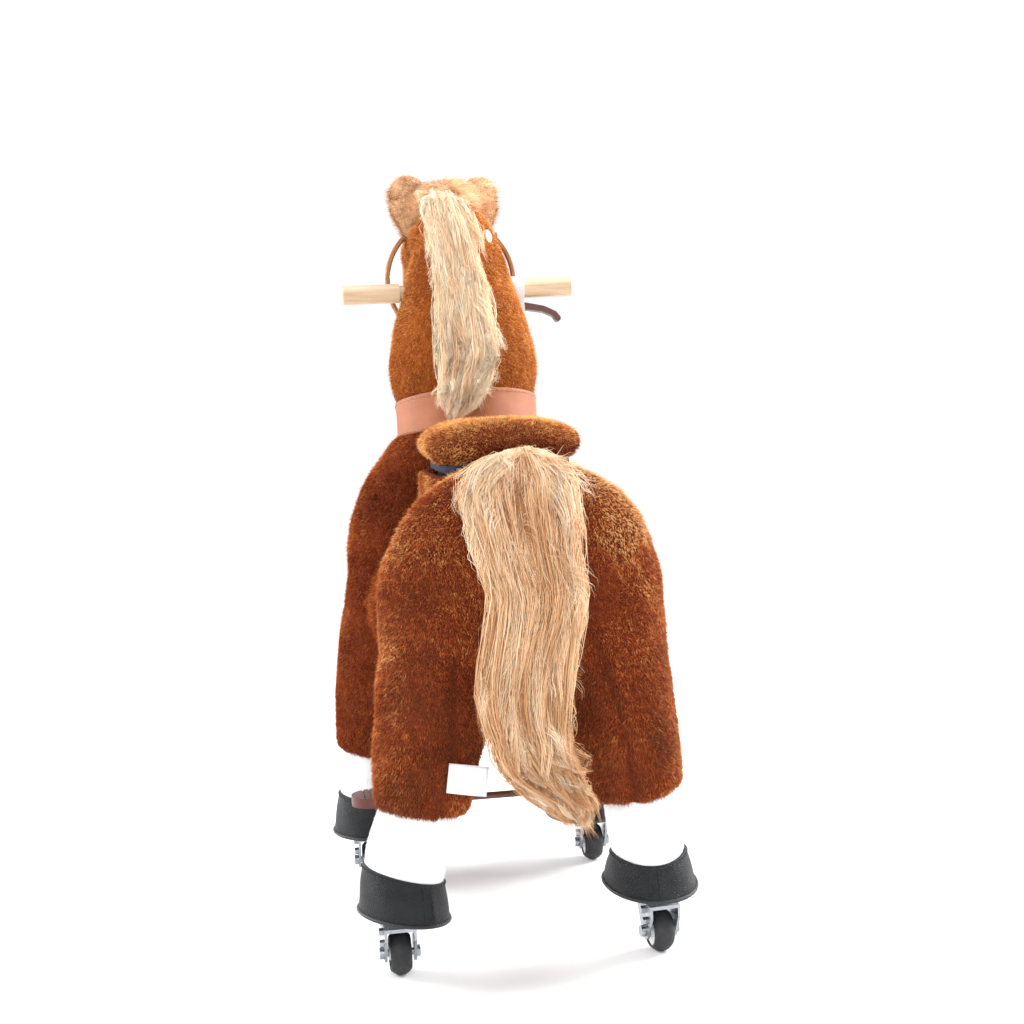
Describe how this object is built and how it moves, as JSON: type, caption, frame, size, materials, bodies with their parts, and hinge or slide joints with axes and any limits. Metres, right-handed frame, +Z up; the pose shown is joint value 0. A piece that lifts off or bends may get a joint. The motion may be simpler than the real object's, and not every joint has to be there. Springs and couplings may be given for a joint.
{
  "type": "ride-on walking pony",
  "caption": "Plush-covered ride-on pony on casters: leg frames that scissor under a saddle as the rider bounces, with a steering neck, hand grips, brake lever and foot pedals.",
  "frame": {"origin": "on the floor, at the middle of the overall length and width", "axes": "+Z up, +Y towards the muzzle, +X to the rider's right"},
  "size_m": [0.39, 0.7679, 0.9197],
  "materials": {
    "brown_plush": "matte",
    "saddle_plush": "matte",
    "neck_plush": "matte",
    "white_plush": "matte",
    "blond_hair": "satin",
    "hoof_leather": "satin",
    "collar_leather": "satin",
    "strap_leather": "satin",
    "navy_plastic": "satin",
    "frame_steel": "satin",
    "zinc_steel": "satin",
    "spring_steel": "satin",
    "bush_plastic": "satin",
    "brown_bar": "satin",
    "pedal_plastic": "satin",
    "cable_sheath": "satin",
    "white_tag": "satin",
    "brass_ring": "polished",
    "eye_glass": "gloss",
    "birch_wood": "satin",
    "white_plastic": "satin",
    "lever_plastic": "satin",
    "red_button": "satin",
    "tyre_rubber": "satin"
  },
  "bodies": {
    "saddle": {"saddle_frame": "frame_steel", "main_axle": "zinc_steel", "saddle_board": "navy_plastic", "saddle_cushion": "saddle_plush", "saddle_skirt": "saddle_plush", "saddle_fasteners": "zinc_steel", "front_return_springs": "spring_steel", "rear_return_springs": "spring_steel"},
    "front_frame": {"front_leg_frame": "frame_steel", "steering_bushes": "bush_plastic", "front_body": "brown_plush", "front_socks": "white_plush", "front_left_hoof": "hoof_leather", "front_right_hoof": "hoof_leather", "front_hoof_plates": "zinc_steel", "neck_collar": "collar_leather", "foot_bar": "brown_bar", "left_pedal": "pedal_plastic", "right_pedal": "pedal_plastic", "lower_brake_cable": "cable_sheath"},
    "rear_frame": {"rear_leg_frame": "frame_steel", "rear_body": "brown_plush", "rear_socks": "white_plush", "rear_left_hoof": "hoof_leather", "rear_right_hoof": "hoof_leather", "rear_hoof_plates": "zinc_steel", "tail": "blond_hair", "care_label": "white_tag", "rear_left_fork": "zinc_steel", "rear_right_fork": "zinc_steel"},
    "neck": {"steering_tube": "zinc_steel", "steering_retainer": "zinc_steel", "neck_cover": "neck_plush", "head": "neck_plush", "left_ear": "blond_hair", "right_ear": "blond_hair", "mane": "blond_hair", "forelock": "blond_hair", "bridle": "strap_leather", "bit_rings": "brass_ring", "eyes": "eye_glass", "left_grip": "birch_wood", "right_grip": "birch_wood", "brake_lever_bracket": "white_plastic", "brake_lever_pin": "zinc_steel", "upper_brake_cable": "cable_sheath", "sound_unit": "red_button"},
    "brake_lever": {"brake_lever": "lever_plastic"},
    "sound_button": {"sound_button": "white_plastic"},
    "front_left_caster": {"front_left_fork": "zinc_steel"},
    "front_right_caster": {"front_right_fork": "zinc_steel"},
    "front_left_wheel": {"front_left_hub": "white_plastic", "front_left_tyre": "tyre_rubber"},
    "front_right_wheel": {"front_right_hub": "white_plastic", "front_right_tyre": "tyre_rubber"},
    "rear_left_wheel": {"rear_left_hub": "white_plastic", "rear_left_tyre": "tyre_rubber"},
    "rear_right_wheel": {"rear_right_hub": "white_plastic", "rear_right_tyre": "tyre_rubber"}
  },
  "joints": [
    {"name": "front_leg_swing", "type": "hinge", "parent": "saddle", "child": "front_frame", "pos_m": [0, -0.055, 0.5], "axis": [1, 0, 0], "range_deg": [0, 8], "stiffness_Nm_per_rad": 170, "springref_deg": -6.88, "deforming": ["front_return_springs"]},
    {"name": "rear_leg_swing", "type": "hinge", "parent": "saddle", "child": "rear_frame", "pos_m": [0, -0.055, 0.5], "axis": [1, 0, 0], "range_deg": [-8, 0], "stiffness_Nm_per_rad": 170, "springref_deg": 6.88, "deforming": ["rear_return_springs"]},
    {"name": "neck_steer", "type": "hinge", "parent": "front_frame", "child": "neck", "pos_m": [0, 0.095, 0.6], "axis": [0, 0.2079, 0.9781], "range_deg": [-25, 25]},
    {"name": "brake_lever_squeeze", "type": "hinge", "parent": "neck", "child": "brake_lever", "pos_m": [0.077, 0.12948, 0.74296], "axis": [0, -0.9781, 0.2079], "range_deg": [0, 14], "stiffness_Nm_per_rad": 2, "springref_deg": -11.46},
    {"name": "sound_button_press", "type": "slide", "parent": "neck", "child": "sound_button", "axis": [-0.7391, 0.6655, -0.1045], "range_m": [0, 0.0025], "stiffness_N_per_m": 400, "springref_m": -0.001},
    {"name": "front_left_swivel", "type": "hinge", "parent": "front_frame", "child": "front_left_caster", "pos_m": [-0.148, 0.145, 0.066], "axis": [0, 0, 1], "range_deg": [-25, 25]},
    {"name": "front_right_swivel", "type": "hinge", "parent": "front_frame", "child": "front_right_caster", "pos_m": [0.148, 0.145, 0.066], "axis": [0, 0, 1], "range_deg": [-25, 25]},
    {"name": "front_left_wheel_spin", "type": "hinge", "parent": "front_left_caster", "child": "front_left_wheel", "pos_m": [-0.148, 0.133, 0.025], "axis": [-1, 0, 0], "continuous": true},
    {"name": "front_right_wheel_spin", "type": "hinge", "parent": "front_right_caster", "child": "front_right_wheel", "pos_m": [0.148, 0.133, 0.025], "axis": [-1, 0, 0], "continuous": true},
    {"name": "rear_left_wheel_spin", "type": "hinge", "parent": "rear_frame", "child": "rear_left_wheel", "pos_m": [-0.148, -0.267, 0.025], "axis": [-1, 0, 0], "continuous": true},
    {"name": "rear_right_wheel_spin", "type": "hinge", "parent": "rear_frame", "child": "rear_right_wheel", "pos_m": [0.14946, -0.26691, 0.025], "axis": [-0.9925, -0.1219, 0], "continuous": true}
  ],
  "couplings": [
    {"joint": "rear_leg_swing", "follows": "front_leg_swing", "ratio": -1},
    {"joint": "front_left_swivel", "follows": "neck_steer", "ratio": 1},
    {"joint": "front_right_swivel", "follows": "neck_steer", "ratio": 1}
  ]
}
